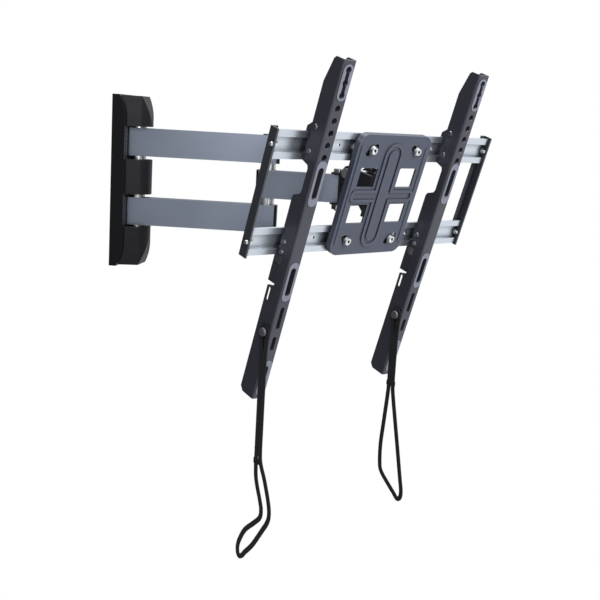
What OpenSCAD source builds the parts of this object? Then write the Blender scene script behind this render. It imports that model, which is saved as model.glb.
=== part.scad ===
// Full motion swivel wall mount for a flat television, drawn in the pose of
// the photograph. The wall is the plane Y = 0, the room is on the -Y side,
// Z is up and X runs along the wall. Lengths are millimetres.

/* [Pose] */
// Direction of the first arms, seen from above
first_deg = -84; // [-150:1:-30]
// Direction of the middle arm, seen from above
second_deg = -88; // [-170:1:-10]
// Direction that the screen faces, seen from above
head_deg = -129.2; // [-180:0.1:0]
// Forward tilt of the television frame
tilt_deg = 17.1; // [-5:0.1:20]

/* [Wall unit] */
// Height of the wall unit
wall_h = 245; // [200:1:320]
// Drop of the wall unit's middle below the middle of the arms
wall_drop = 6.5; // [-10:0.5:12]
// Width of the wall unit
wall_w = 72; // [60:1:120]
// Distance of the wall axle from the wall
axle_y = 29; // [26:0.5:45]
// Depth of the cover tray beside the caps
tray_d = 19; // [15:0.5:21]
// Depth of the cover tray behind the arms
tray_low = 11; // [8:0.5:12]
// Wall of the plastic covers
cover_t = 2.5; // [1.5:0.1:4]
// Radius of the round front of the caps
cap_r = 20.5; // [18:0.5:26]
// Thickness of the steel wall plate and its lugs
plate_t = 4; // [3:0.5:6]
// Across and up spacing of the wall screw holes
screw_x = 44; // [30:1:60]
screw_z = 200; // [150:1:220]
// Diameter of the wall screw holes
screw_d = 8.5; // [6:0.5:12]

/* [Arms] */
// Pivot to pivot length of the first arms
first_l = 190; // [120:1:320]
// Pivot to pivot length of the middle arm
second_l = 104; // [80:1:260]
// Height of every arm
arm_h = 40; // [25:1:60]
// Thickness of every arm
arm_t = 22; // [18:0.5:26]
// Height of the first arms' middles above and below the centre
arm_z = 50; // [40:1:70]
// Wall of the hollow arms
arm_wall = 3; // [2:0.5:5]
// Length of an arm past its pivot, end cap included
arm_end = 16; // [14:0.5:20]
// Thickness of the end caps
end_cap_t = 4; // [2:0.5:6]
// Diameter of the axles
axle_d = 12; // [8:0.5:14]
// Radial play between an axle and what turns on it
play = 0.05; // [0.02:0.01:0.1]
// Outer diameter of the chrome spacers
spacer_d = 22; // [18:0.5:24]

/* [Head] */
// Distance of the tilt axle in front of the head axle
tilt_x = 39; // [32:0.5:60]
// Height of the tilt axle over the middle of the arm
tilt_z = 25; // [15:0.5:40]
// Distance of the rails' front plane in front of the tilt axle
rail_x = 42; // [38:0.5:60]
// Drop of the frame's middle below the tilt axle
rail_drop = 13.2; // [0:0.1:30]
// Diameter of the head axle
head_d = 10; // [8:0.5:12]
// Diameter of the tilt axle
tilt_d = 8; // [6:0.5:10]
// Sheet thickness of the head and the tilt bracket
sheet_t = 3; // [2:0.5:5]

/* [Television frame] */
// Length of the rails
rail_l = 420; // [300:1:640]
// Height over both rails
frame_h = 170; // [140:1:300]
// Height of one rail
rail_h = 38; // [30:0.5:50]
// Skin of the rails
skin = 3; // [2:0.1:4]
// Depth of the rails' groove, skin included
groove_d = 8; // [6:0.5:14]
// Width of the rails' lips
lip = 9; // [7:0.5:12]
// Width and height of the centre plate
cplate_w = 142; // [120:1:220]
cplate_h = 175; // [150:1:240]
// Corner radius of the centre plate
cplate_r = 15; // [6:0.5:30]
// Depth of the turned back edge of the centre plate
cplate_d = 9; // [6:0.5:9.5]
// Across and up spacing of the plate bolts
bolt_x = 88; // [60:1:120]
bolt_z = 132; // [100:1:200]
// Diameter of the plate bolts
bolt_d = 8; // [6:0.5:10]
// Turn that the level slots allow each way
level_deg = 5.5; // [2:0.5:6]

/* [Television brackets] */
// Place of the left and right bracket along the rails
left_u = -144.6; // [-190:0.1:-100]
right_u = 118; // [95:0.1:190]
// Top and bottom end of the brackets from the frame's middle
bracket_top = 184; // [150:1:260]
bracket_bottom = 294; // [200:1:320]
// Width of the brackets
bracket_w = 22; // [20:0.5:40]
// Front face of the brackets ahead of the rails
bracket_n = 26; // [20:0.5:36]
// Sheet thickness of the brackets
bracket_t = 2.5; // [1.5:0.1:4]
// Diameter of the television screw holes
hole_d = 9; // [6:0.5:10]
// Spacing of the television screw holes
hole_pitch = 16; // [14:0.5:25]

/* [Latches and straps] */
// Travel of the latches
latch_travel = 9; // [6:0.5:10]
// Place of the strap buttons below the frame's middle
button_v = 193; // [170:1:230]
// Place of the strap buttons ahead of the rails
button_n = 16; // [10:0.5:20]
// Width and thickness of the strap cord
strap_w = 7.6; // [4:0.1:7.7]
strap_t = 2.4; // [1.5:0.1:3.4]

/* [Hidden] */
$fn = 48;
e = 0.01;
piv_y = -axle_y;
cap_len = arm_end - end_cap_t;      // tube end past the pivot
arm_top = arm_z + arm_h / 2;
arm_low = arm_z - arm_h / 2;
gap = 2;                            // cap face to arm
gap_mid = 5;                        // middle cap to arm
top_z = wall_h / 2 - wall_drop;     // top and bottom of the wall unit
low_z = -wall_h / 2 - wall_drop;
notch_x = 21;                       // half the notch behind the arms
lug_top = arm_top + gap + cover_t;  // underside of the top lug
lug_mid = arm_low - gap_mid - cover_t; // top of the middle lug
half_f = frame_h / 2;
rail_c = half_f - rail_h / 2;       // middle line of a rail
face_n = 10;                        // front face of the centre plate
cp_t = 3;                           // its sheet
floor_n = -(groove_d - skin);       // front of the groove floor
bar_t = 2.5;                        // sheet of the end bars
bar_w = 8;                          // back flange of the end bars
bar_over = 2;                       // end bar past the rails
end_u = rail_l / 2;
screw_n = floor_n + 3.5;            // end screws, ahead of the groove floor
end_screw_d = 4;
ear_y = 20;                         // outer face of the head's ears
slide = 0.2;                        // sliding clearance
turn_gap = 0.06;                    // clearance beside the centre plate, which turns
in_w = bracket_w / 2 - bracket_t;   // half the inside of a bracket
web_x = 19;                         // back of the head's upright web

// Run of the straps, ahead of and below the button, from the top of the stud
hang = [[-0.8, 6.9], [-2.9, 6.4], [-5.1, 4.8], [-6.7, 1.8], [-6.9, -2.4], [-5.6, -14], [-4.1, -40]];
fall_l = [[-3.95, -80], [-3.95, -130], [-3.95, -170], [-3.9, -187], [-1.5, -210], [8, -236],
    [12, -250], [10, -262], [-2, -274], [-20, -290], [-31, -308], [-35, -322], [-32, -333]];
back_l = [[-25, -331], [-18, -323], [-3, -307], [15, -281], [26, -264], [29, -251], [26, -234],
    [16, -206], [6.8, -186], [4.2, -170], [3.95, -130], [3.95, -80]];
fall_r = [[-3.95, -83], [-3.95, -112], [-5, -130], [-9, -174], [-12, -209], [-11, -238],
    [-7, -252], [7, -266], [22, -279], [30, -286]];
back_r = [[36, -282], [37, -271], [33, -252], [24, -209], [15, -167], [6.8, -128],
    [4.3, -110], [3.95, -83]];
function flip(r) = [for (i = [len(r) - 1 : -1 : 0]) [-r[i][0], r[i][1]]];

// Frames of the moving bodies, each nested in the one before it
module at_first() translate([0, piv_y, 0]) rotate([0, 0, first_deg]) children();
module at_second() at_first() translate([first_l, 0, 0])
    rotate([0, 0, second_deg - first_deg]) children();
module at_head() at_second() translate([second_l, 0, 0])
    rotate([0, 0, head_deg - second_deg]) children();
module at_tilt() at_head() translate([tilt_x, 0, tilt_z]) rotate([0, tilt_deg, 0]) children();
// The television frame: x is ahead of the rails, y along them, z up
module at_frame() at_tilt() translate([rail_x, 0, -rail_drop]) children();

module ring(od, id, z0, z1) difference() {
    translate([0, 0, z0]) cylinder(d = od, h = z1 - z0);
    translate([0, 0, z0 - 1]) cylinder(d = id, h = z1 - z0 + 2);
}
module hex_nut(af, id, h) difference() {
    cylinder(d = af / cos(30), h = h, $fn = 6);
    translate([0, 0, -1]) cylinder(d = id, h = h + 2);
}
// Rounded plate in the frame's y and z, from n0 to n1
module slab(w, h, r, n0, n1) translate([n0, 0, 0]) rotate([90, 0, 90])
    linear_extrude(n1 - n0) offset(r) square([w - 2 * r, h - 2 * r], center = true);
// Upright slot in the frame's y and z, from n0 to n1
module slot_v(w, v0, v1, n0, n1) translate([n0, 0, 0]) rotate([90, 0, 90])
    linear_extrude(n1 - n0) {
        for (v = [v0 + w / 2, v1 - w / 2]) translate([0, v]) circle(d = w);
        translate([-w / 2, v0 + w / 2]) square([w, v1 - v0 - w]);
    }

// Wall unit
module lug(z0) difference() {
    union() {
        translate([-14, piv_y, z0]) cube([28, axle_y - plate_t + e, plate_t]);
        translate([0, piv_y, z0]) cylinder(r = 14, h = plate_t);
    }
    translate([0, piv_y, z0 - 1]) cylinder(d = axle_d + 0.1, h = plate_t + 2);
}
module wall_plate() color([0.2, 0.2, 0.22]) {
    difference() {
        translate([-wall_w / 2 + 4, -plate_t, low_z + 4])
            cube([wall_w - 8, plate_t, wall_h - 8]);
        for (x = [-1, 1], z = [-1, 1]) translate([x * screw_x / 2, 1, z * screw_z / 2 - wall_drop])
            rotate([90, 0, 0]) cylinder(d = screw_d, h = plate_t + 2);
    }
    lug(lug_top);
    lug(-lug_top - plate_t);
    lug(lug_mid - plate_t);
    lug(-lug_mid);
}
// Outline of the wall unit from the side: d deep, bowed back over a run at each end
module side_profile(d, bow, run, grow) rotate([90, 0, 90]) translate([0, 0, -wall_w])
    linear_extrude(2 * wall_w) translate([0, -wall_drop]) offset(delta = grow) polygon(concat(
        [for (k = [0 : 6]) let (t = k / 6) [bow * t * t - d, wall_h / 2 - run * (1 - t)]],
        [[1, wall_h / 2], [1, -wall_h / 2]],
        [for (k = [6 : -1 : 0]) let (t = k / 6) [bow * t * t - d, -wall_h / 2 + run * (1 - t)]]));
module tray_body(in) difference() {
    intersection() {
        translate([-wall_w / 2 + in, -tray_d + in, low_z + in])
            cube([wall_w - 2 * in, tray_d, wall_h - 2 * in]);
        side_profile(tray_d, 9, 30, -in);
    }
    for (s = [-1, 1]) translate([-notch_x - in, -tray_d - 1 - in, s * arm_z - arm_h / 2 - gap - in])
        cube([2 * notch_x + 2 * in, tray_d - tray_low + 1 + 2 * in, arm_h + 2 * gap + 2 * in]);
}
module cap_plan(in) hull() {
    translate([0, piv_y]) circle(r = cap_r - in, $fn = 96);
    translate([-wall_w / 2 + 8 + in, -8]) square([wall_w - 16 - 2 * in, 0.5]);
}
module cap_body(in, z0, z1) difference() {
    intersection() {
        translate([0, 0, z0]) linear_extrude(z1 - z0) cap_plan(in);
        side_profile(axle_y + cap_r, 12, 45, -in);
    }
    if (in == 0) tray_body(0);
}
module cover_base() color([0.1, 0.1, 0.1]) difference() {
    tray_body(0);
    tray_body(cover_t);
    translate([-wall_w / 2 + cover_t, -cover_t - 1, low_z + cover_t])
        cube([wall_w - 2 * cover_t, cover_t + 2, wall_h - 2 * cover_t]);
    // openings under the three caps, where the lugs come out
    for (z = [[arm_top + gap - e, top_z - 16], [-arm_low + gap_mid - e, arm_low - gap_mid + e],
              [low_z + 16, -arm_top - gap + e]])
        translate([-18, -tray_d - 1, z[0]]) cube([36, tray_d, z[1] - z[0]]);
    translate([0, piv_y, -arm_top]) cylinder(d = spacer_d + 0.6, h = 2 * arm_top);
}
module cover_top() color([0.1, 0.1, 0.1]) difference() {
    cap_body(0, arm_top + gap, top_z - 1);
    cap_body(cover_t, lug_top, top_z);
    translate([0, piv_y, 0]) cylinder(d = spacer_d + 0.6, h = lug_top + 1);
}
module cover_bottom() color([0.1, 0.1, 0.1]) difference() {
    cap_body(0, low_z + 1, -arm_top - gap);
    cap_body(cover_t, low_z, -lug_top);
    translate([0, piv_y, -lug_top - 1]) cylinder(d = spacer_d + 0.6, h = lug_top + 1);
}
module cover_middle() color([0.1, 0.1, 0.1]) difference() {
    cap_body(0, -arm_low + gap_mid, arm_low - gap_mid);
    cap_body(cover_t, -lug_mid, lug_mid);
    translate([0, piv_y, -arm_low]) cylinder(d = spacer_d + 0.6, h = 2 * arm_low);
}
module wall_axle() color([0.8, 0.8, 0.8]) translate([0, piv_y, 0]) {
    translate([0, 0, -lug_top - plate_t - 12]) cylinder(d = axle_d, h = 2 * (lug_top + plate_t) + 12);
    translate([0, 0, lug_top + plate_t]) cylinder(d = 19, h = 5);
}
module wall_nut() color([0.8, 0.8, 0.8])
    translate([0, piv_y, -lug_top - plate_t - 9]) hex_nut(18, axle_d, 9);
module wall_spacers() color([0.85, 0.85, 0.85]) translate([0, piv_y, 0]) {
    ring(spacer_d, axle_d, arm_top, lug_top);
    ring(spacer_d, axle_d, lug_mid, arm_low);
    ring(spacer_d, axle_d, -arm_low, -lug_mid);
    ring(spacer_d, axle_d, -lug_top, -arm_top);
}

// Arms: a hollow bar with a boss at each pivot
module arm_end_plan() {
    translate([-1, -arm_t / 2 + 4]) square([end_cap_t + 1, arm_t - 8]);
    for (s = [-1, 1]) translate([end_cap_t - 4, s * (arm_t / 2 - 4)]) circle(r = 4);
}
module arm_bar(l, d0, d1, closed = false) difference() {
    union() {
        difference() {
            union() {
                translate([-cap_len, -arm_t / 2, -arm_h / 2]) cube([l + 2 * cap_len, arm_t, arm_h]);
                if (closed) translate([-cap_len, 0, -arm_h / 2]) mirror([1, 0, 0])
                    linear_extrude(arm_h) arm_end_plan();
            }
            translate([closed ? -cap_len : -cap_len - 1, -arm_t / 2 + arm_wall, -arm_h / 2 + arm_wall])
                cube([l + 2 * cap_len + 1, arm_t - 2 * arm_wall, arm_h - 2 * arm_wall]);
        }
        for (x = [0, l]) translate([x, 0, -arm_h / 2 + e]) cylinder(d = arm_t - 2, h = arm_h - 2 * e);
    }
    translate([0, 0, -arm_h]) cylinder(d = d0, h = 2 * arm_h);
    translate([l, 0, -arm_h]) cylinder(d = d1, h = 2 * arm_h);
}
module arm_cap() {
    intersection() {
        translate([0, -arm_t / 2, -arm_h / 2]) cube([end_cap_t, arm_t, arm_h]);
        translate([0, 0, -arm_h / 2]) linear_extrude(arm_h) arm_end_plan();
    }
    translate([-1.5, -arm_t / 2 + arm_wall, -arm_h / 2 + arm_wall])
        cube([1.5 + e, arm_t - 2 * arm_wall, arm_h - 2 * arm_wall]);
}
module arm_caps(l) {
    translate([l + cap_len, 0, 0]) arm_cap();
    translate([-cap_len, 0, 0]) mirror([1, 0, 0]) arm_cap();
}
module upper_arm() color([0.45, 0.5, 0.58]) at_first() translate([0, 0, arm_z])
    arm_bar(first_l, axle_d + 2 * play, axle_d, true);
module lower_arm() color([0.45, 0.5, 0.58]) at_first() translate([0, 0, -arm_z])
    arm_bar(first_l, axle_d + 2 * play, axle_d, true);
module first_arm_caps() color([0.1, 0.1, 0.1]) at_first()
    for (s = [-1, 1]) translate([first_l + cap_len, 0, s * arm_z]) arm_cap();
module elbow_axle() color([0.8, 0.8, 0.8]) at_first() translate([first_l, 0, 0]) {
    translate([0, 0, -arm_top - 4]) cylinder(d = axle_d, h = 2 * arm_top + 4);
    translate([0, 0, arm_top]) cylinder(d = 19, h = 1.8);
}
module elbow_nut() color([0.8, 0.8, 0.8]) at_first() translate([first_l, 0, -arm_top - 6])
    hex_nut(17, axle_d, 6);
module elbow_spacers() color([0.85, 0.85, 0.85]) at_first() translate([first_l, 0, 0]) {
    ring(spacer_d, axle_d, arm_h / 2, arm_low);
    ring(spacer_d, axle_d, -arm_low, -arm_h / 2);
}
module middle_arm() color([0.45, 0.5, 0.58]) at_second()
    arm_bar(second_l, axle_d + 2 * play, head_d + 2 * play);
module middle_arm_caps() color([0.1, 0.1, 0.1]) at_second() arm_caps(second_l);

// Head: a clevis that swivels on the middle arm and carries the tilt axle
module swivel_clevis() color([0.13, 0.13, 0.14]) at_head() difference() {
    union() {
        for (z = [arm_h / 2, -arm_h / 2 - sheet_t]) translate([0, 0, z]) linear_extrude(sheet_t)
            hull() {
                circle(r = 12);
                translate([web_x, -ear_y + 4]) square([sheet_t, 2 * ear_y - 8]);
            }
        translate([web_x, -ear_y, -arm_h / 2 - sheet_t])
            cube([sheet_t, 2 * ear_y, arm_h + 2 * sheet_t]);
        for (s = [-1, 1]) translate([0, s * (ear_y - sheet_t / 2) + sheet_t / 2, 0])
            rotate([90, 0, 0]) linear_extrude(sheet_t) hull() {
                translate([tilt_x, tilt_z]) circle(r = 9);
                translate([web_x, tilt_z - 16]) square([sheet_t, arm_h / 2 + sheet_t - tilt_z + 16]);
            }
    }
    translate([0, 0, -arm_h]) cylinder(d = head_d, h = 2 * arm_h);
    translate([tilt_x, ear_y + 5, tilt_z]) rotate([90, 0, 0]) cylinder(d = tilt_d, h = 2 * ear_y + 10);
}
module head_bolt() color([0.8, 0.8, 0.8]) at_head() {
    translate([0, 0, -arm_h / 2 - sheet_t - 9]) cylinder(d = head_d, h = arm_h + 2 * sheet_t + 9);
    translate([0, 0, arm_h / 2 + sheet_t]) cylinder(d = 17, h = 5);
}
module head_nut() color([0.8, 0.8, 0.8]) at_head()
    translate([0, 0, -arm_h / 2 - sheet_t - 7]) hex_nut(16, head_d, 7);
tilt_o = ear_y + slide + sheet_t;   // outer face of the tilt bracket's ears
module tilt_bolt() color([0.8, 0.8, 0.8]) at_head() translate([tilt_x, 0, tilt_z]) {
    translate([0, tilt_o + 9, 0]) rotate([90, 0, 0]) cylinder(d = tilt_d, h = 2 * tilt_o + 9);
    translate([0, -tilt_o, 0]) rotate([90, 0, 0]) cylinder(d = 14, h = 5);
}
module tilt_nut() color([0.8, 0.8, 0.8]) at_head() translate([tilt_x, tilt_o + 6.5, tilt_z])
    rotate([90, 0, 0]) hex_nut(13, tilt_d, 6.5);
module tilt_bracket() color([0.13, 0.13, 0.14]) at_tilt() difference() {
    union() {
        translate([rail_x + face_n - cp_t - sheet_t, -24, -rail_drop - 32]) cube([sheet_t, 48, 64]);
        for (s = [-1, 1]) translate([0, s * (tilt_o - sheet_t / 2) + sheet_t / 2, 0])
            rotate([90, 0, 0]) linear_extrude(sheet_t) hull() {
                circle(r = 10);
                translate([rail_x + face_n - cp_t - sheet_t, -rail_drop - 26]) square([sheet_t, 52]);
            }
    }
    translate([0, tilt_o + 5, 0]) rotate([90, 0, 0]) cylinder(d = tilt_d + 2 * play, h = 2 * tilt_o + 10);
}

// Centre plate with turned back edges, level slots and embossed ribs
slot_r = norm([bolt_x, bolt_z]) / 2;
slot_a = atan2(bolt_z, bolt_x);
// Slot along an arc round the middle, at q degrees
module arc_slot(q) translate([-20, 0, 0]) rotate([90, 0, 90]) linear_extrude(40)
    offset(r = bolt_d / 2 + 0.4) polygon([for (r = [slot_r - e, slot_r + e], k = [-4 : 4])
        let (a = q + (r < slot_r ? k : -k) * (level_deg + 0.4) / 4) [r * cos(a), r * sin(a)]]);
module centre_plate() color([0.28, 0.3, 0.34]) at_frame() difference() {
    union() {
        difference() {
            slab(cplate_w, cplate_h, cplate_r, face_n - cplate_d, face_n);
            slab(cplate_w - 2 * cp_t, cplate_h - 2 * cp_t, cplate_r - cp_t, face_n - cplate_d - 1,
                face_n - cp_t);
        }
        difference() {
            union() {
                slot_v(34, -76, 76, face_n - e, face_n + 1.8);
                slab(124, 17, 8, face_n - e, face_n + 1.8);
            }
            slot_v(26, -72, 72, face_n, face_n + 3);
            slab(116, 10, 4, face_n, face_n + 3);
        }
        slot_v(17, -66, 66, face_n - e, face_n + 1.8);
        for (s = [-1, 1]) translate([0, s * (cplate_w / 2 - 7), 0])
            slot_v(4, -cplate_h / 2 + 16, cplate_h / 2 - 16, face_n - e, face_n + 1);
    }
    for (s = [-1, 1], t = [-1, 1]) translate([0, s * 38.5, t * 26.5])
        slab(33, 28, 2, face_n - cp_t - 1, face_n + 3);
    for (q = [slot_a, 180 - slot_a, 180 + slot_a, -slot_a]) arc_slot(q);
}

// Rails: a hat section with a groove, two slots near the ends of the groove
module rail_section() {
    h = rail_h / 2;
    polygon([[0, h], [0, h - lip], [floor_n, h - lip - skin / 2], [floor_n, -h + lip + skin / 2],
        [0, -h + lip], [0, -h], [-skin, -h], [-skin, -h + lip - skin],
        [-groove_d, -h + lip - skin / 2], [-groove_d, h - lip + skin / 2],
        [-skin, h - lip + skin], [-skin, h]]);
}
module rail(v) color([0.74, 0.77, 0.8]) at_frame() difference() {
    translate([0, end_u, v]) rotate([90, 0, 0]) linear_extrude(rail_l) rail_section();
    for (s = [-1, 1]) {
        translate([0, s * bolt_x / 2, v > 0 ? bolt_z / 2 : -bolt_z / 2]) rotate([0, 90, 0])
            cylinder(d = bolt_d, h = 60, center = true);
        translate([0, s * (cplate_w / 2 + 22), v]) rotate([0, 90, 0])
            cylinder(d = 5, h = 60, center = true);
    }
}
module upper_rail() rail(rail_c);
module lower_rail() rail(-rail_c);
module end_bar(s) color([0.25, 0.26, 0.28]) at_frame() difference() {
    union() {
        translate([-groove_d - bar_t, s > 0 ? end_u - bar_w : -end_u - bar_t, -half_f - bar_over])
            cube([bar_t, bar_w + bar_t, frame_h + 2 * bar_over]);
        translate([-groove_d - bar_t, s > 0 ? end_u : -end_u - bar_t, -half_f - bar_over])
            cube([groove_d + bar_t + 3.5, bar_t, frame_h + 2 * bar_over]);
    }
    for (v = [-1, 1]) translate([screw_n, s * end_u, v * rail_c]) rotate([90, 0, 0])
        cylinder(d = end_screw_d, h = 20, center = true);
}
module left_end_bar() end_bar(-1);
module right_end_bar() end_bar(1);
module at_plate_bolts() at_frame() for (s = [-1, 1], t = [-1, 1])
    translate([0, s * bolt_x / 2, t * bolt_z / 2]) rotate([0, 90, 0]) children();
wash_n = face_n + 1.5;              // front of the plate washers
module plate_bolts() color([0.85, 0.85, 0.85]) at_plate_bolts() difference() {
    union() {
        translate([0, 0, -groove_d - 9]) cylinder(d = bolt_d, h = groove_d + 9 + wash_n);
        translate([0, 0, wash_n]) cylinder(d1 = 13, d2 = 10, h = 3.4);
    }
    translate([0, 0, wash_n + 1.2]) cylinder(d = 5 / cos(30), h = 6, $fn = 6);
}
module plate_washers() color([0.85, 0.85, 0.85]) at_plate_bolts()
    ring(13.5, bolt_d, face_n + turn_gap, wash_n);
module plate_spacers() color([0.3, 0.3, 0.3]) at_plate_bolts()
    ring(15, bolt_d, floor_n, face_n - cp_t - turn_gap);
module plate_nuts() color([0.8, 0.8, 0.8]) at_plate_bolts()
    translate([0, 0, -groove_d - 6.5]) hex_nut(13, bolt_d, 6.5);
module at_end_screws() at_frame() for (s = [-1, 1], v = [-1, 1])
    translate([screw_n, s * end_u, v * rail_c]) rotate([-s * 90, 0, 0]) children();
module end_screws() color([0.85, 0.85, 0.85]) at_end_screws() {
    translate([0, 0, -7]) cylinder(d = end_screw_d, h = 7 + bar_t + e);
    translate([0, 0, bar_t]) cylinder(d1 = 7, d2 = 5, h = 2.2);
}
module end_nuts() color([0.8, 0.8, 0.8]) at_end_screws()
    translate([0, 0, -5]) rotate([0, 0, 30]) hex_nut(7, end_screw_d, 5);

// Television bracket: a folded channel that hooks over the upper rail
hook_gap = 0.2;
module bracket_side() polygon([[bracket_n, bracket_top], [bracket_n, -bracket_bottom],
    [3, -bracket_bottom], [-3, -bracket_bottom + 6], [-3, -half_f - 46], [9, -half_f - 42],
    [9, -half_f - 1.5], [0, -half_f - 1.5],
    [0, -half_f + rail_h + 0.3], [-1, -half_f + rail_h + 1], [-1, -4], [1, 0], [11, 5], [13, 9],
    [13, half_f - rail_h - 7], [11, half_f - rail_h - 3], [0, half_f - rail_h - 0.3],
    [0, half_f + hook_gap], [-skin - hook_gap, half_f + hook_gap], [-skin - hook_gap, half_f - 4.6],
    [-skin - 1.2, half_f - 5.4], [-6.8, half_f - 5.4], [-7.5, half_f - 4.4], [-7.5, half_f + 5],
    [0, half_f + 12], [0, bracket_top - 34], [8, bracket_top - 3], [11, bracket_top]]);
module bracket(u) color([0.16, 0.17, 0.19]) at_frame() translate([0, u, 0]) difference() {
    union() {
        intersection() {
            translate([0, 0, -bracket_bottom - 1]) linear_extrude(bracket_bottom + bracket_top + 2)
                difference() {
                    union() {
                        translate([-10, -bracket_w / 2]) square([bracket_n + 7, bracket_w]);
                        hull() for (s = [-1, 1]) {
                            translate([bracket_n - 3, s * (bracket_w / 2 - 3)]) circle(r = 3);
                            translate([bracket_n - 7, s * (bracket_w / 2 - 1)]) square([2, 2], center = true);
                        }
                    }
                    translate([-11, -in_w]) square([bracket_n + 11 - bracket_t, 2 * in_w]);
                }
            translate([0, bracket_w, 0]) rotate([90, 0, 0]) linear_extrude(2 * bracket_w) bracket_side();
        }
        // raised rims of the long slots
        slot_v(16.5, bracket_top - 51, bracket_top - 5, bracket_n - e, bracket_n + 0.8);
        slot_v(16.5, -7, 55, bracket_n - e, bracket_n + 0.8);
        slot_v(16.5, -143, -86, bracket_n - e, bracket_n + 0.8);
        slot_v(16.5, -bracket_bottom + 5, -234, bracket_n - e, bracket_n + 0.6);
        // guide pins of the latch
        for (v = pin_v) translate([pin_n, -in_w - e, v]) rotate([-90, 0, 0]) cylinder(d = 5, h = 4);
    }
    for (k = [0 : 2]) translate([0, 0, bracket_top - 12 - k * hole_pitch]) rotate([0, 90, 0])
        cylinder(d = hole_d, h = 60);
    for (k = [3 : 7]) translate([0, 0, bracket_top - 13 - k * hole_pitch]) rotate([0, 90, 0])
        cylinder(d = hole_d, h = 60);
    slot_v(6, bracket_top - 44, bracket_top - 12, bracket_n - 6, bracket_n + 5);
    slot_v(hole_d, 3, 46, bracket_n - 6, bracket_n + 5);
    slot_v(hole_d, -135, -94, bracket_n - 6, bracket_n + 5);
    slot_v(7, -186, -152, bracket_n - 6, bracket_n + 5);
    slot_v(7, -219, -197, bracket_n - 6, bracket_n + 5);
    slot_v(6, -bracket_bottom + 14, -243, bracket_n - 6, bracket_n + 5);
    // slot for the strap button, on the left flange
    translate([button_n, 0, 0]) hull() for (v = [0, -latch_travel])
        translate([0, -bracket_w, -button_v + v]) rotate([-90, 0, 0]) cylinder(d = 7, h = bracket_w);
    // slot through both flanges, behind the latch
    translate([2, 0, 0]) hull() for (v = [-half_f - 64.5, -half_f - 49.5])
        translate([0, -bracket_w, v]) rotate([-90, 0, 0]) cylinder(d = 5, h = 2 * bracket_w);
    // rivet holes
    for (r = rivet_at) translate([r[0], -bracket_w, r[1]]) rotate([-90, 0, 0])
        cylinder(d = 5, h = bracket_w);
}
rivet_at = [[7, half_f + 8], [7, half_f - 24], [6, -half_f + 20], [6, -half_f + 6]];
pin_n = 18;                         // guide pins of the latch
pin_v = [-half_f - 29, -half_f - 55];
module rivets(u) color([0.8, 0.8, 0.8]) at_frame() for (r = rivet_at)
    translate([r[0], u - bracket_w / 2, r[1]]) rotate([-90, 0, 0]) {
        cylinder(d = 5, h = bracket_t + 0.8);
        translate([0, 0, -1.5]) cylinder(d1 = 6, d2 = 8, h = 1.5);
    }
module left_bracket() bracket(left_u);
module right_bracket() bracket(right_u);
module left_rivets() rivets(left_u);
module right_rivets() rivets(right_u);

// Latch: a tooth behind the lower rail and a side web that the strap pulls
stud_out = 4;                       // length of the strap stud outside the bracket
tooth_n0 = -groove_d + 0.4;
tooth_n1 = -skin - 0.3;
web_t = 2.5;
module latch(u) color([0.3, 0.31, 0.33]) at_frame() translate([0, u, 0]) difference() {
    union() {
        translate([tooth_n0, -in_w + slide, -half_f - 25])
            cube([tooth_n1 - tooth_n0, 2 * (in_w - slide), 25 + lip - skin - 0.6]);
        translate([tooth_n0, -in_w + slide, -half_f - 41])
            cube([pin_n + 4 - tooth_n0, web_t, 27]);
        translate([7, -in_w + slide, -button_v - 12]) cube([pin_n - 3, web_t, button_v + 13 - half_f - 41]);
        // stud that carries the button
        translate([button_n, -bracket_w / 2 - stud_out, -button_v]) rotate([-90, 0, 0])
            cylinder(d = 6, h = bracket_w / 2 - in_w + slide + stud_out + web_t - e);
    }
    for (v = pin_v) hull() for (t = [0, latch_travel])
        translate([pin_n, -bracket_w, v + t]) rotate([-90, 0, 0]) cylinder(d = 5.3, h = bracket_w);
}
module left_latch() latch(left_u);
module right_latch() latch(right_u);
module button(u) color([0.5, 0.5, 0.52]) at_frame()
    translate([button_n, u - bracket_w / 2 - stud_out, -button_v]) rotate([90, 0, 0])
        cylinder(d1 = 13, d2 = 11, h = 2.5);
module left_button() button(left_u);
module right_button() button(right_u);

// Strap: an eight sided band swept from the stud, round its loop and back
module at_strap(u) at_frame() translate([button_n, u - bracket_w / 2 - stud_out / 2, -button_v])
    rotate([0, -tilt_deg, 0]) children();
function band(p, t) = let (n = [-t[1], t[0]] / norm(t), g = cos(22.5))
    [for (k = [0 : 7]) let (c = cos(k * 45 + 22.5) / g, s = sin(k * 45 + 22.5) / g)
        [p[0] + n[0] * s * strap_w / 2, c * strap_t / 2, p[1] + n[1] * s * strap_w / 2]];
function tangent(r, i) = i == 0 ? r[1] - r[0] : i == len(r) - 1 ? r[i] - r[i - 1] : r[i + 1] - r[i - 1];
module strap_band(route) {
    n = len(route);
    pts = [for (i = [0 : n - 1]) each band(route[i], tangent(route, i))];
    sides = [for (i = [0 : n - 2], k = [0 : 7])
        [i * 8 + k, i * 8 + (k + 1) % 8, (i + 1) * 8 + (k + 1) % 8, (i + 1) * 8 + k]];
    polyhedron(pts, concat([[7, 6, 5, 4, 3, 2, 1, 0]], sides,
        [[for (k = [0 : 7]) (n - 1) * 8 + k]]));
}
module left_strap() color([0.07, 0.07, 0.08]) at_strap(left_u)
    strap_band(concat(hang, fall_l, back_l, flip(hang)));
module right_strap() color([0.07, 0.07, 0.08]) at_strap(right_u)
    strap_band(concat(hang, fall_r, back_r, flip(hang)));

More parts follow.
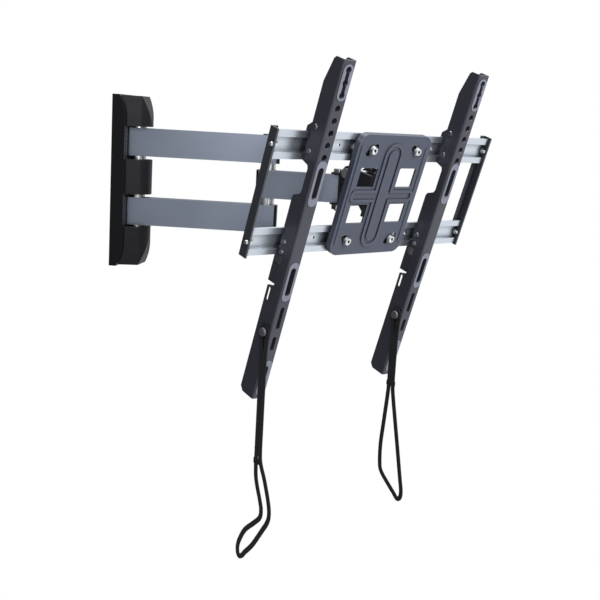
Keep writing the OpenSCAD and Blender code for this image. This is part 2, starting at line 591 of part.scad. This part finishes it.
wall_plate();
cover_base();
cover_top();
cover_middle();
cover_bottom();
wall_axle();
wall_nut();
wall_spacers();
upper_arm();
lower_arm();
first_arm_caps();
elbow_axle();
elbow_nut();
elbow_spacers();
middle_arm();
middle_arm_caps();
swivel_clevis();
head_bolt();
head_nut();
tilt_bolt();
tilt_nut();
tilt_bracket();
centre_plate();
upper_rail();
lower_rail();
left_end_bar();
right_end_bar();
plate_bolts();
plate_washers();
plate_spacers();
plate_nuts();
end_screws();
end_nuts();
left_bracket();
left_rivets();
right_bracket();
right_rivets();
left_latch();
left_button();
left_strap();
right_latch();
right_button();
right_strap();
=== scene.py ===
"""Looks of the swivel wall mount for a television: anodised arms, extruded rails, powder coated
steel, moulded covers and two woven pull straps. Metres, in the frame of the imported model."""
import bpy, bmesh, math
from mathutils import Vector, Matrix


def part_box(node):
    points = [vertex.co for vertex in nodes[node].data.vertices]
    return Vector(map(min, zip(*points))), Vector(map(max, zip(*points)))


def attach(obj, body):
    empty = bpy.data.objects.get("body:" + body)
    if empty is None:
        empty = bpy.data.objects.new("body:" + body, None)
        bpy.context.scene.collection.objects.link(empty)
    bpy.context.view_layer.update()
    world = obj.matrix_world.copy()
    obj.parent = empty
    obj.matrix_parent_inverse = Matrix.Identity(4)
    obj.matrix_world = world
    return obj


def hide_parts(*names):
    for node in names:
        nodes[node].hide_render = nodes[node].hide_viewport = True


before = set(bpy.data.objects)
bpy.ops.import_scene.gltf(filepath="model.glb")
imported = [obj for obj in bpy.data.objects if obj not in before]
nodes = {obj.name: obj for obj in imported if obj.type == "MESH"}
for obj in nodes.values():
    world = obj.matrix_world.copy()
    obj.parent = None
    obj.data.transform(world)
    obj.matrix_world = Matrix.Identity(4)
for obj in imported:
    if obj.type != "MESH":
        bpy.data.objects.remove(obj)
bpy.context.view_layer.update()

# Camera
# The photo's camera: it stands to the left of the arms, looks slightly down and leans a little.
# Its place was fitted to the rails, the centre plate, the brackets and the arms.
CAM_AT = Vector((-1.4192, -0.4776, 0.0943))
CAM_HEADING, CAM_DOWN, CAM_ROLL = math.radians(8.0), math.radians(10.2), math.radians(3.24)
CAM_LENS, CAM_SENSOR = 60.0, 36.0
UP = Vector((0, 0, 1))

ahead = Vector((math.cos(CAM_HEADING), math.sin(CAM_HEADING), 0))
look = ahead * math.cos(CAM_DOWN) - UP * math.sin(CAM_DOWN)
level_right = Vector((math.sin(CAM_HEADING), -math.cos(CAM_HEADING), 0))
level_up = level_right.cross(look)
cam_right = level_right * math.cos(CAM_ROLL) + level_up * math.sin(CAM_ROLL)
cam_up = level_up * math.cos(CAM_ROLL) - level_right * math.sin(CAM_ROLL)
cam_data = bpy.data.cameras.new("camera")
cam_data.lens, cam_data.sensor_width = CAM_LENS, CAM_SENSOR
cam_data.clip_start = 0.01
camera = bpy.data.objects.new("camera", cam_data)
bpy.context.scene.collection.objects.link(camera)
turn = Matrix((cam_right, cam_up, -look)).transposed().to_4x4()
camera.matrix_world = Matrix.Translation(CAM_AT) @ turn
bpy.context.scene.camera = camera

# Straps
# Two pull straps of flat black cord, woven, each looped over the stud of a latch and closed on
# itself. A sewn wrap with whipped thread holds its two runs together where the loop opens.
# The route's points repeat part.scad: ahead of and below the stud, in millimetres.
MM = 0.001
STRAP_W, STRAP_T = 7.6, 2.4
STRAP_STEPS, STRAP_SIDES, STRAP_POWER = 5, 16, 0.75
HEAD_DEG = -129.2
HANG = [(-0.8, 6.9), (-2.9, 6.4), (-5.1, 4.8), (-6.7, 1.8), (-6.9, -2.4), (-5.6, -14), (-4.1, -40)]
FALL = {"left": [(-3.95, -80), (-3.95, -130), (-3.95, -170), (-3.9, -187), (-1.5, -210), (8, -236),
                 (12, -250), (10, -262), (-2, -274), (-20, -290), (-31, -308), (-35, -322),
                 (-32, -333)],
        "right": [(-3.95, -83), (-3.95, -112), (-5, -130), (-9, -174), (-12, -209), (-11, -238),
                  (-7, -252), (7, -266), (22, -279), (30, -286)]}
BACK = {"left": [(-25, -331), (-18, -323), (-3, -307), (15, -281), (26, -264), (29, -251),
                 (26, -234), (16, -206), (6.8, -186), (4.2, -170), (3.95, -130), (3.95, -80)],
        "right": [(36, -282), (37, -271), (33, -252), (24, -209), (15, -167), (6.8, -128),
                  (4.3, -110), (3.95, -83)]}
BUTTON_T, STUD_OUT = 2.5, 4.0                   # the button, and the stud between it and the bracket
WRAP_Z = {"left": -183, "right": -108}          # middle of the sewn wrap
WRAP_RUN = ((-4, 0.9), (-3.2, 1.0), (-1, 1.04), (1, 1.04), (3.2, 1.0), (4, 0.9))
WRAP_HALF_W, WRAP_HALF_T, WRAP_SIDES, WRAP_POWER = 8.3, 1.9, 24, 0.6
WIND_FROM, WIND_STEP, WIND_N, WIND_SIDES = -3.2, 0.8, 9, 28
WIND_HALF_W, WIND_FLAT, THREAD_R, THREAD_SIDES = 8.6, 0.26, 0.42, 8

forward = Vector((math.cos(math.radians(HEAD_DEG)), math.sin(math.radians(HEAD_DEG)), 0))
along = Vector((-forward.y, forward.x, 0))      # along the rails


def smooth(points, steps):
    """Points on a Catmull-Rom curve through the route."""
    pts = [Vector(p) for p in points]
    out = []
    for i in range(len(pts) - 1):
        p0, p1, p2 = pts[max(i - 1, 0)], pts[i], pts[i + 1]
        p3 = pts[min(i + 2, len(pts) - 1)]
        for k in range(steps):
            t = k / steps
            out.append(0.5 * (2 * p1 + (p2 - p0) * t + (2 * p0 - 5 * p1 + 4 * p2 - p3) * t * t
                              + (3 * p1 - p0 - 3 * p2 + p3) * t ** 3))
    return out + [pts[-1]]


def squared(angle, power):
    """Cosine and sine of an angle, drawn out towards a square's corners."""
    c, s = math.cos(angle), math.sin(angle)
    return math.copysign(abs(c) ** power, c), math.copysign(abs(s) ** power, s)


def skin(bm, rings):
    """Close a row of rings into one solid."""
    sides = len(rings[0])
    for r0, r1 in zip(rings, rings[1:]):
        for k in range(sides):
            bm.faces.new((r0[k], r0[(k + 1) % sides], r1[(k + 1) % sides], r1[k]))
    bm.faces.new(rings[0][::-1])
    bm.faces.new(rings[-1])


def strap_piece(name, mesh, side):
    """Link a mesh as a smooth piece that rides on the latch of its side."""
    mesh.polygons.foreach_set("use_smooth", [True] * len(mesh.polygons))
    piece = bpy.data.objects.new(name, mesh)
    bpy.context.scene.collection.objects.link(piece)
    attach(piece, side + "_latch")
    return piece


def from_bmesh(name, bm):
    """A mesh with its faces turned outwards."""
    mesh = bpy.data.meshes.new(name)
    bmesh.ops.recalc_face_normals(bm, faces=bm.faces)
    bm.to_mesh(mesh)
    bm.free()
    return mesh


def cord_mesh(name, path):
    """The flat cord, swept along its path; its broad faces look along the rails."""
    bm = bmesh.new()
    rings = []
    for i, p in enumerate(path):
        t = (path[min(i + 1, len(path) - 1)] - path[max(i - 1, 0)]).normalized()
        flat = t.cross(along).normalized()
        ring = []
        for k in range(STRAP_SIDES):
            c, s = squared(2 * math.pi * (k + 0.5) / STRAP_SIDES, STRAP_POWER)
            ring.append(bm.verts.new(p + flat * s * STRAP_W * MM / 2 + along * c * STRAP_T * MM / 2))
        rings.append(ring)
    skin(bm, rings)
    return from_bmesh(name, bm)


def wrap_mesh(name, middle):
    """The sewn wrap, a flat sleeve that is fuller in its middle."""
    bm = bmesh.new()
    rings = []
    for rise, grow in WRAP_RUN:
        ring = []
        for k in range(WRAP_SIDES):
            c, s = squared(2 * math.pi * k / WRAP_SIDES, WRAP_POWER)
            ring.append(bm.verts.new(middle + UP * rise * MM + forward * c * WRAP_HALF_W * grow * MM
                                     + along * s * WRAP_HALF_T * grow * MM))
        rings.append(ring)
    skin(bm, rings)
    return from_bmesh(name, bm)


# Whipping round each wrap: one ring of thread repeated by Geometry Nodes
whip = bpy.data.node_groups.new("windings", "GeometryNodeTree")
for label, kind in (("Start", "NodeSocketVector"), ("Step", "NodeSocketVector"),
                    ("Turn", "NodeSocketVector"), ("Count", "NodeSocketInt"),
                    ("Half Width", "NodeSocketFloat"), ("Flatten", "NodeSocketFloat"),
                    ("Thread", "NodeSocketFloat"), ("Material", "NodeSocketMaterial")):
    whip.interface.new_socket(label, in_out="INPUT", socket_type=kind)
whip.interface.new_socket("Geometry", in_out="OUTPUT", socket_type="NodeSocketGeometry")
gi, go = whip.nodes.new("NodeGroupInput"), whip.nodes.new("NodeGroupOutput")
line = whip.nodes.new("GeometryNodeMeshLine")
ring = whip.nodes.new("GeometryNodeCurvePrimitiveCircle")
ring.inputs["Resolution"].default_value = WIND_SIDES
shape = whip.nodes.new("GeometryNodeTransform")
scale = whip.nodes.new("ShaderNodeCombineXYZ")
scale.inputs["X"].default_value = scale.inputs["Z"].default_value = 1.0
thread = whip.nodes.new("GeometryNodeCurvePrimitiveCircle")
thread.inputs["Resolution"].default_value = THREAD_SIDES
tube = whip.nodes.new("GeometryNodeCurveToMesh")
place = whip.nodes.new("GeometryNodeInstanceOnPoints")
real = whip.nodes.new("GeometryNodeRealizeInstances")
dye = whip.nodes.new("GeometryNodeSetMaterial")
for a, b in ((gi.outputs["Start"], line.inputs["Start Location"]),
             (gi.outputs["Step"], line.inputs["Offset"]),
             (gi.outputs["Count"], line.inputs["Count"]),
             (gi.outputs["Half Width"], ring.inputs["Radius"]),
             (ring.outputs["Curve"], shape.inputs["Geometry"]),
             (gi.outputs["Flatten"], scale.inputs["Y"]),
             (scale.outputs["Vector"], shape.inputs["Scale"]),
             (gi.outputs["Turn"], shape.inputs["Rotation"]),
             (shape.outputs["Geometry"], tube.inputs["Curve"]),
             (gi.outputs["Thread"], thread.inputs["Radius"]),
             (thread.outputs["Curve"], tube.inputs["Profile Curve"]),
             (line.outputs["Mesh"], place.inputs["Points"]),
             (tube.outputs["Mesh"], place.inputs["Instance"]),
             (place.outputs["Instances"], real.inputs["Geometry"]),
             (real.outputs["Geometry"], dye.inputs["Geometry"]),
             (gi.outputs["Material"], dye.inputs["Material"]),
             (dye.outputs["Geometry"], go.inputs["Geometry"])):
    whip.links.new(a, b)
socket = {s.name: s.identifier for s in whip.interface.items_tree if s.in_out == "INPUT"}


def winding_mesh(name, start, material):
    """Rings of thread from start upwards, made real so that they ride like any piece."""
    holder = bpy.data.objects.new(name + "_seed", bpy.data.meshes.new(name + "_seed"))
    bpy.context.scene.collection.objects.link(holder)
    mod = holder.modifiers.new("windings", "NODES")
    mod.node_group = whip
    for label, value in (("Start", tuple(start)), ("Step", (0, 0, WIND_STEP * MM)),
                         ("Turn", (0, 0, math.radians(HEAD_DEG))), ("Count", WIND_N),
                         ("Half Width", WIND_HALF_W * MM), ("Flatten", WIND_FLAT),
                         ("Thread", THREAD_R * MM), ("Material", material)):
        mod[socket[label]] = value
    bpy.context.view_layer.update()
    graph = bpy.context.evaluated_depsgraph_get()
    mesh = bpy.data.meshes.new_from_object(holder.evaluated_get(graph), depsgraph=graph)
    bpy.data.objects.remove(holder)
    mesh.name = name
    return mesh


def new_group(name, sockets_in, sockets_out):
    """An empty shader group with named inputs and outputs."""
    tree = bpy.data.node_groups.new(name, "ShaderNodeTree")
    for label, kind, value in sockets_in:
        s = tree.interface.new_socket(label, in_out="INPUT", socket_type=kind)
        s.default_value = value
    for label, kind in sockets_out:
        tree.interface.new_socket(label, in_out="OUTPUT", socket_type=kind)
    return tree, tree.nodes.new("NodeGroupInput"), tree.nodes.new("NodeGroupOutput")


def math_node(tree, op, a, b=None, clamp=False):
    """One Math node; a and b are numbers or sockets."""
    n = tree.nodes.new("ShaderNodeMath")
    n.operation, n.use_clamp = op, clamp
    for i, v in enumerate((a, b)):
        if v is None:
            continue
        if isinstance(v, (int, float)):
            n.inputs[i].default_value = v
        else:
            tree.links.new(v, n.inputs[i])
    return n.outputs[0]


def vector_node(tree, op):
    """One Vector Math node."""
    n = tree.nodes.new("ShaderNodeVectorMath")
    n.operation = op
    return n


class Finish:
    """A Principled material with helpers that add one effect each."""

    def __init__(self, name, color, metallic, rough, specular=0.5):
        self.mat = bpy.data.materials.new(name)
        self.mat.use_nodes = True
        self.tree = self.mat.node_tree
        self.bsdf = self.tree.nodes["Principled BSDF"]
        self.bsdf.inputs["Base Color"].default_value = (*color, 1)
        self.bsdf.inputs["Metallic"].default_value = metallic
        self.bsdf.inputs["Roughness"].default_value = rough
        self.bsdf.inputs["Specular IOR Level"].default_value = specular
        self.color = (*color, 1)
        self.color_out = None

    def use(self, group, **values):
        """Place a shared group with its own values."""
        n = self.tree.nodes.new("ShaderNodeGroup")
        n.node_tree = group
        for key, v in values.items():
            n.inputs[key].default_value = v
        return n

    def tint(self, mask, color, amount):
        """Mix the base colour towards another where a mask is high."""
        mix = self.tree.nodes.new("ShaderNodeMix")
        mix.data_type = "RGBA"
        factor = math_node(self.tree, "MULTIPLY", mask, amount, clamp=True)
        self.tree.links.new(factor, mix.inputs["Factor"])
        if self.color_out is None:
            mix.inputs["A"].default_value = self.color
        else:
            self.tree.links.new(self.color_out, mix.inputs["A"])
        mix.inputs["B"].default_value = (*color, 1)
        self.color_out = mix.outputs["Result"]
        self.tree.links.new(self.color_out, self.bsdf.inputs["Base Color"])

    def roughen(self, value, low, high):
        """Let a noise move the roughness between two values."""
        m = self.tree.nodes.new("ShaderNodeMapRange")
        m.inputs["From Min"].default_value, m.inputs["From Max"].default_value = 0.3, 0.7
        m.inputs["To Min"].default_value, m.inputs["To Max"].default_value = low, high
        self.tree.links.new(value, m.inputs["Value"])
        self.tree.links.new(m.outputs["Result"], self.bsdf.inputs["Roughness"])

    def bump(self, height, strength, distance):
        """Fine relief on the surface."""
        b = self.tree.nodes.new("ShaderNodeBump")
        b.inputs["Strength"].default_value, b.inputs["Distance"].default_value = strength, distance
        self.tree.links.new(height, b.inputs["Height"])
        self.tree.links.new(b.outputs["Normal"], self.bsdf.inputs["Normal"])


# Weave: crossed threads, one set slanting each way
weave_group, gi, go = new_group("weave", [("Scale", "NodeSocketFloat", 620.0)],
                                [("Threads", "NodeSocketFloat")])
coord = weave_group.nodes.new("ShaderNodeTexCoord")
threads = []
for slant in (0.7, -0.7):
    d = vector_node(weave_group, "DOT_PRODUCT")
    d.inputs[1].default_value = along.cross(UP).normalized() * slant + UP * abs(slant)
    weave_group.links.new(coord.outputs["Object"], d.inputs[0])
    phase = math_node(weave_group, "MULTIPLY", d.outputs["Value"], gi.outputs["Scale"])
    phase = math_node(weave_group, "MULTIPLY", phase, 2 * math.pi)
    threads.append(math_node(weave_group, "ABSOLUTE", math_node(weave_group, "SINE", phase)))
weave_group.links.new(math_node(weave_group, "MAXIMUM", *threads), go.inputs["Threads"])

webbing = Finish("strap_woven", (0.004, 0.004, 0.005), 0.0, 0.75, 0.25)
webbing.bsdf.inputs["Sheen Weight"].default_value = 0.08
w = webbing.use(weave_group, Scale=620.0)
webbing.tint(w.outputs["Threads"], (0.014, 0.014, 0.017), 0.7)
webbing.bump(w.outputs["Threads"], 0.6, 0.0003)


def dress(material, *names):
    """Give CAD nodes their finish in place of the plain one."""
    for name in names:
        nodes[name].data.materials.clear()
        nodes[name].data.materials.append(material)


dress(webbing.mat, "left_strap", "right_strap")

for side in ("left", "right"):
    lo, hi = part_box(side + "_button")
    stud = (lo + hi) / 2 + along * (BUTTON_T + STUD_OUT) / 2 * MM
    back_run = [(-x, z) for x, z in reversed(HANG)]
    flat_path = smooth(HANG + FALL[side] + BACK[side] + back_run, STRAP_STEPS)
    path = [stud + forward * p[0] * MM + UP * p[1] * MM for p in flat_path]
    middle = stud + UP * WRAP_Z[side] * MM
    name = side + "_strap"
    strap = strap_piece(name + "_cord", cord_mesh(name + "_cord", path), side)
    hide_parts(name)
    wrap = strap_piece(name + "_wrap", wrap_mesh(name + "_wrap", middle), side)
    thread_rings = winding_mesh(name + "_windings", middle + UP * WIND_FROM * MM, webbing.mat)
    turns = strap_piece(name + "_windings", thread_rings, side)
    for piece in (strap, wrap, turns):
        piece.data.materials.clear()
        piece.data.materials.append(webbing.mat)

# Steel wall plate
# A thick pressed plate with four lugs that carry the first arm's axle, screwed to the wall behind
# the covers. Black powder coat, with paler edges, partly wear and partly painted highlight, and
# painted shade in its corners.

# Edges: how far the rounded normal turns from the true one, so edges are painted paler: partly wear,
# partly painted highlight
edge_wear_and_highlight_group, gi, go = new_group("edge_wear_and_highlight_mask", [("Radius", "NodeSocketFloat", 0.0012),
                                             ("Gain", "NodeSocketFloat", 5.0)],
                               [("Mask", "NodeSocketFloat")])
bevel = edge_wear_and_highlight_group.nodes.new("ShaderNodeBevel")
bevel.samples = 4
geo = edge_wear_and_highlight_group.nodes.new("ShaderNodeNewGeometry")
dot = vector_node(edge_wear_and_highlight_group, "DOT_PRODUCT")
edge_wear_and_highlight_group.links.new(gi.outputs["Radius"], bevel.inputs["Radius"])
edge_wear_and_highlight_group.links.new(bevel.outputs["Normal"], dot.inputs[0])
edge_wear_and_highlight_group.links.new(geo.outputs["Normal"], dot.inputs[1])
away = math_node(edge_wear_and_highlight_group, "SUBTRACT", 1.0, dot.outputs["Value"])
mask = math_node(edge_wear_and_highlight_group, "MULTIPLY", away, gi.outputs["Gain"], clamp=True)
edge_wear_and_highlight_group.links.new(mask, go.inputs["Mask"])

# Crevices: how much of the near surroundings a point is hidden from; the finishes use it to paint shade
# into corners and recesses
crevice_shade_group, gi, go = new_group("crevice_shade_mask", [("Reach", "NodeSocketFloat", 0.006)],
                                  [("Mask", "NodeSocketFloat")])
hidden = crevice_shade_group.nodes.new("ShaderNodeAmbientOcclusion")
hidden.samples = 4
crevice_shade_group.links.new(gi.outputs["Reach"], hidden.inputs["Distance"])
deep = math_node(crevice_shade_group, "SUBTRACT", 1.0, hidden.outputs["AO"], clamp=True)
crevice_shade_group.links.new(math_node(crevice_shade_group, "MULTIPLY", deep, 1.6, clamp=True), go.inputs["Mask"])

# Grain: two noises, a broad one for handling marks and a fine one for the surface itself
grain_group, gi, go = new_group("grain", [("Fine", "NodeSocketFloat", 900.0),
                                          ("Broad", "NodeSocketFloat", 14.0)],
                                [("Fine", "NodeSocketFloat"), ("Broad", "NodeSocketFloat")])
coord = grain_group.nodes.new("ShaderNodeTexCoord")
for label, detail in (("Fine", 3.0), ("Broad", 5.0)):
    noise = grain_group.nodes.new("ShaderNodeTexNoise")
    noise.inputs["Detail"].default_value = detail
    grain_group.links.new(coord.outputs["Object"], noise.inputs["Vector"])
    grain_group.links.new(gi.outputs[label], noise.inputs["Scale"])
    grain_group.links.new(noise.outputs["Fac"], go.inputs[label])


def powder(name, color, rough, edge):
    """Powder coat: orange peel, faint handling marks, paler edges (partly wear, partly painted highlight)
    and painted shade in corners.
    """
    f = Finish(name, color, 0.0, rough)
    g = f.use(grain_group, Fine=1100.0, Broad=11.0)
    f.tint(g.outputs["Broad"], tuple(min(1, c * 1.5 + 0.006) for c in color), 0.55)
    # Paler edges: partly wear, partly painted highlight.
    f.tint(f.use(edge_wear_and_highlight_group, Radius=0.0009, Gain=3.5).outputs["Mask"], edge, 0.6)
    # Painted shade: darker colour in corners and recesses.
    f.tint(f.use(crevice_shade_group, Reach=0.005).outputs["Mask"], tuple(c * 0.15 for c in color), 0.9)
    f.roughen(g.outputs["Broad"], rough - 0.06, rough + 0.08)
    f.bump(g.outputs["Fine"], 0.25, 0.0002)
    return f


dress(powder("steel_black", (0.02, 0.02, 0.023), 0.5, (0.1, 0.1, 0.11)).mat, "wall_plate")

# Moulded covers and end caps
# Black plastic: a tray and three caps that clip over the wall plate, and a cap in each open end of
# the arms. Fine leather texture, soft sheen and slightly paler edges, partly polish and partly painted
# highlight.
cover = Finish("cover_plastic", (0.005, 0.005, 0.0065), 0.0, 0.36, 0.14)
g = cover.use(grain_group, Fine=650.0, Broad=16.0)
cover.tint(g.outputs["Broad"], (0.008, 0.008, 0.0095), 0.5)
# Paler edges: partly polish, partly painted highlight.
cover.tint(cover.use(edge_wear_and_highlight_group, Radius=0.0015, Gain=3.0).outputs["Mask"], (0.02, 0.02, 0.024), 0.4)
cover.roughen(g.outputs["Fine"], 0.3, 0.42)
cover.bump(g.outputs["Fine"], 0.3, 0.0003)
dress(cover.mat, "cover_base", "cover_top", "cover_middle", "cover_bottom", "first_arm_caps",
      "middle_arm_caps")

# Arms
# Three hollow aluminium arms, extruded, drilled for their axles and anodised a grey blue. The
# lines that extruding leaves run along the two first arms.
FIRST_DEG = -84.0
LINE_PULL = 0.985                               # how far the noise is drawn out along the lines

line_group, gi, go = new_group("drawn_lines", [("Along", "NodeSocketVector", (1, 0, 0)),
                                               ("Scale", "NodeSocketFloat", 700.0)],
                               [("Lines", "NodeSocketFloat")])
coord = line_group.nodes.new("ShaderNodeTexCoord")
run, pull, flat = (vector_node(line_group, op) for op in ("DOT_PRODUCT", "SCALE", "SUBTRACT"))
noise = line_group.nodes.new("ShaderNodeTexNoise")
noise.inputs["Detail"].default_value = 4.0
line_group.links.new(coord.outputs["Object"], run.inputs[0])
line_group.links.new(gi.outputs["Along"], run.inputs[1])
line_group.links.new(gi.outputs["Along"], pull.inputs[0])
drawn = math_node(line_group, "MULTIPLY", run.outputs["Value"], LINE_PULL)
line_group.links.new(drawn, pull.inputs["Scale"])
line_group.links.new(coord.outputs["Object"], flat.inputs[0])
line_group.links.new(pull.outputs[0], flat.inputs[1])
line_group.links.new(flat.outputs[0], noise.inputs["Vector"])
line_group.links.new(gi.outputs["Scale"], noise.inputs["Scale"])
line_group.links.new(noise.outputs["Fac"], go.inputs["Lines"])


def metal(name, color, direction, rough, lines):
    """Bare or anodised metal with the lines that drawing or brushing leaves, paler edges (partly wear,
    partly painted highlight) and painted shade in corners.
    """
    f = Finish(name, color, 1.0, rough)
    g = f.use(grain_group, Fine=2200.0, Broad=9.0)
    d = f.use(line_group, Along=direction, Scale=900.0)
    f.tint(d.outputs["Lines"], tuple(c * 0.72 for c in color), lines)
    # Paler edges: partly wear, partly painted highlight.
    f.tint(f.use(edge_wear_and_highlight_group, Radius=0.0007, Gain=4.0).outputs["Mask"],
           tuple(min(1, c * 1.35 + 0.05) for c in color), 0.6)
    # Painted shade: darker colour in corners and recesses.
    f.tint(f.use(crevice_shade_group, Reach=0.008).outputs["Mask"], tuple(c * 0.12 for c in color), 0.85)
    f.roughen(g.outputs["Broad"], rough - 0.05, rough + 0.07)
    f.bump(d.outputs["Lines"], 0.12, 0.0001)
    return f


arm_heading = (math.cos(math.radians(FIRST_DEG)), math.sin(math.radians(FIRST_DEG)), 0.0)
arm = metal("arm_anodised", (0.225, 0.25, 0.305), arm_heading, 0.36, 0.35)
dress(arm.mat, "upper_arm", "lower_arm", "middle_arm")

# Axles, bolts, nuts and spacers
# Turned steel with bright plating: the axles of wall and elbow, the head and tilt bolts, the bolts
# through the rails and the end screws. The spacers behind the centre plate are plain zinc.
chrome = metal("chrome", (0.78, 0.79, 0.8), tuple(UP), 0.14, 0.15)
dress(chrome.mat, "wall_axle", "wall_nut", "wall_spacers", "elbow_axle", "elbow_nut", "elbow_spacers",
      "head_bolt", "head_nut", "tilt_bolt", "tilt_nut", "plate_bolts", "plate_nuts", "end_screws",
      "end_nuts")
dress(metal("zinc", (0.5, 0.5, 0.5), tuple(UP), 0.35, 0.35).mat, "plate_spacers")

# Clevis and tilt bracket
# Two folded steel parts: the clevis turns on the middle arm's end, and the tilt bracket's ears
# pivot on a bolt through it. Deep black powder coat.
dress(powder("head_black", (0.012, 0.012, 0.015), 0.38, (0.12, 0.12, 0.14)).mat,
      "swivel_clevis", "tilt_bracket")

# Centre plate
# A pressed steel plate with an embossed cross and four cut-outs, bolted through the rails with
# four dark washers. Blue grey powder coat with pale edges, partly wear and partly painted highlight.
dress(powder("plate_blue_grey", (0.04, 0.046, 0.068), 0.36, (0.26, 0.28, 0.34)).mat, "centre_plate")
dress(metal("washer_dark", (0.3, 0.3, 0.33), tuple(UP), 0.26, 0.2).mat, "plate_washers")

# Rails and end bars
# Two extruded aluminium rails with satin faces, joined at each end by a folded steel bar in dark
# powder coat, which is screwed to them.
dress(metal("rail_satin", (0.74, 0.79, 0.85), tuple(along), 0.3, 0.45).mat, "upper_rail", "lower_rail")
dress(powder("end_bar_dark", (0.028, 0.03, 0.038), 0.36, (0.2, 0.2, 0.23)).mat,
      "left_end_bar", "right_end_bar")

# Television brackets
# Two folded steel channels that hook over the upper rail. Grey powder coat, with the raised rims
# of the long slots paler, and four dulled rivets in each.
TILT_DEG = 17.1
RIM_FADE, RIM_SOFT = 0.0006, 0.0002             # the colour's start below the rims' tops, its blend

screen = forward * math.cos(math.radians(TILT_DEG)) - UP * math.sin(math.radians(TILT_DEG))
bracket = powder("bracket_grey", (0.03, 0.031, 0.042), 0.34, (0.2, 0.2, 0.24))
rim_top = max(v.co.dot(screen) for v in nodes["left_bracket"].data.vertices)
coord = bracket.tree.nodes.new("ShaderNodeTexCoord")
rise = vector_node(bracket.tree, "DOT_PRODUCT")
rise.inputs[1].default_value = screen
bracket.tree.links.new(coord.outputs["Object"], rise.inputs[0])
rim = bracket.tree.nodes.new("ShaderNodeMapRange")
rim.inputs["From Min"].default_value = rim_top - RIM_FADE
rim.inputs["From Max"].default_value = rim_top - RIM_FADE + RIM_SOFT
bracket.tree.links.new(rise.outputs["Value"], rim.inputs["Value"])
bracket.tint(rim.outputs["Result"], (0.2, 0.21, 0.26), 0.7)
dress(bracket.mat, "left_bracket", "right_bracket")
dress(metal("rivet_dulled", (0.2, 0.2, 0.22), tuple(UP), 0.3, 0.2).mat, "left_rivets", "right_rivets")

# Latches and buttons
# A folded steel latch slides on two pins in each bracket and holds the lower rail until its strap
# is pulled. A moulded grey button closes the end of its stud.
dress(powder("latch_dark", (0.03, 0.03, 0.038), 0.38, (0.16, 0.16, 0.18)).mat,
      "left_latch", "right_latch")
button = Finish("button_grey", (0.07, 0.07, 0.078), 0.0, 0.4)
g = button.use(grain_group, Fine=1500.0, Broad=60.0)
button.tint(g.outputs["Broad"], (0.11, 0.11, 0.12), 0.4)
button.bump(g.outputs["Fine"], 0.15, 0.0002)
dress(button.mat, "left_button", "right_button")

# Light
# White studio: the camera sees white. Surfaces see a room that is bright in front of the screen
# side and overhead and dim towards the wall, which keeps the brackets' flanks dark.
ROOM_FRONT, ROOM_BACK, ROOM_ABOVE = 0.95, 0.12, 0.4
MOUNT_MIDDLE = Vector((0.0, -0.25, 0.0))

world = bpy.data.worlds.new("studio")
bpy.context.scene.world = world
world.use_nodes = True
wt = world.node_tree
wt.nodes.clear()
ray = wt.nodes.new("ShaderNodeLightPath")
seen, lit = wt.nodes.new("ShaderNodeBackground"), wt.nodes.new("ShaderNodeBackground")
seen.inputs["Color"].default_value = (1, 1, 1, 1)
lit.inputs["Color"].default_value = (0.95, 0.97, 1.0, 1)
way = wt.nodes.new("ShaderNodeTexCoord")
parts = wt.nodes.new("ShaderNodeSeparateXYZ")
wt.links.new(way.outputs["Generated"], parts.inputs[0])
depth = wt.nodes.new("ShaderNodeMapRange")
depth.interpolation_type = "SMOOTHSTEP"
for label, value in (("From Min", -0.8), ("From Max", 0.9), ("To Min", ROOM_FRONT), ("To Max", ROOM_BACK)):
    depth.inputs[label].default_value = value
wt.links.new(parts.outputs["Y"], depth.inputs["Value"])
above = math_node(wt, "MULTIPLY", math_node(wt, "MAXIMUM", parts.outputs["Z"], 0.0), ROOM_ABOVE)
wt.links.new(math_node(wt, "ADD", depth.outputs["Result"], above), lit.inputs["Strength"])
mix, out = wt.nodes.new("ShaderNodeMixShader"), wt.nodes.new("ShaderNodeOutputWorld")
wt.links.new(ray.outputs["Is Camera Ray"], mix.inputs["Fac"])
wt.links.new(lit.outputs[0], mix.inputs[1])
wt.links.new(seen.outputs[0], mix.inputs[2])
wt.links.new(mix.outputs[0], out.inputs["Surface"])


def lamp(name, at, size, power):
    """A square lamp that points at the middle of the mount."""
    data = bpy.data.lights.new(name, "AREA")
    data.size, data.energy = size, power
    obj = bpy.data.objects.new(name, data)
    bpy.context.scene.collection.objects.link(obj)
    obj.location = at
    obj.rotation_euler = (MOUNT_MIDDLE - Vector(at)).to_track_quat("-Z", "Y").to_euler()


lamp("key", (-0.7, -1.9, 1.2), 0.8, 36)
lamp("side", (-1.8, -0.7, 0.3), 0.6, 9)
lamp("top", (0.2, -0.4, 1.6), 0.9, 22)

scene = bpy.context.scene
scene.view_settings.view_transform = "Standard"
scene.view_settings.look = "None"
